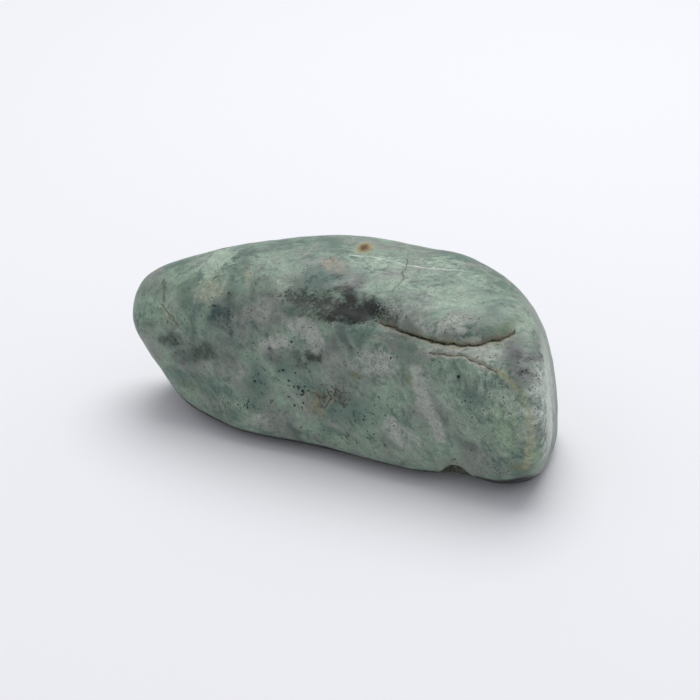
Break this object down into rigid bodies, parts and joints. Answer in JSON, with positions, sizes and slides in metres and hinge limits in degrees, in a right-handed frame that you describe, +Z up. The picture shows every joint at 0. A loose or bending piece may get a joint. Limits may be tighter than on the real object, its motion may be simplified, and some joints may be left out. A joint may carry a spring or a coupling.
{
  "type": "raw jade boulder",
  "caption": "Water-worn raw jade stone, one solid block with a blunt end and a tapered nose, a raised lip over an open seam, a lower seam, a chipped bottom edge and a flat underside.",
  "frame": {"origin": "under the middle of the stone's box, on the surface that it lies on", "axes": "+X along the stone to its blunt end, -Y out of its broad front face, +Z up"},
  "size_m": [0.1304, 0.0554, 0.0535],
  "materials": {
    "jade": "mottled grey-green and lilac-grey jade, water-worn to a soft waxy polish, stained olive and brown along its seams"
  },
  "bodies": {
    "root": {"boulder": "jade"}
  },
  "joints": []
}
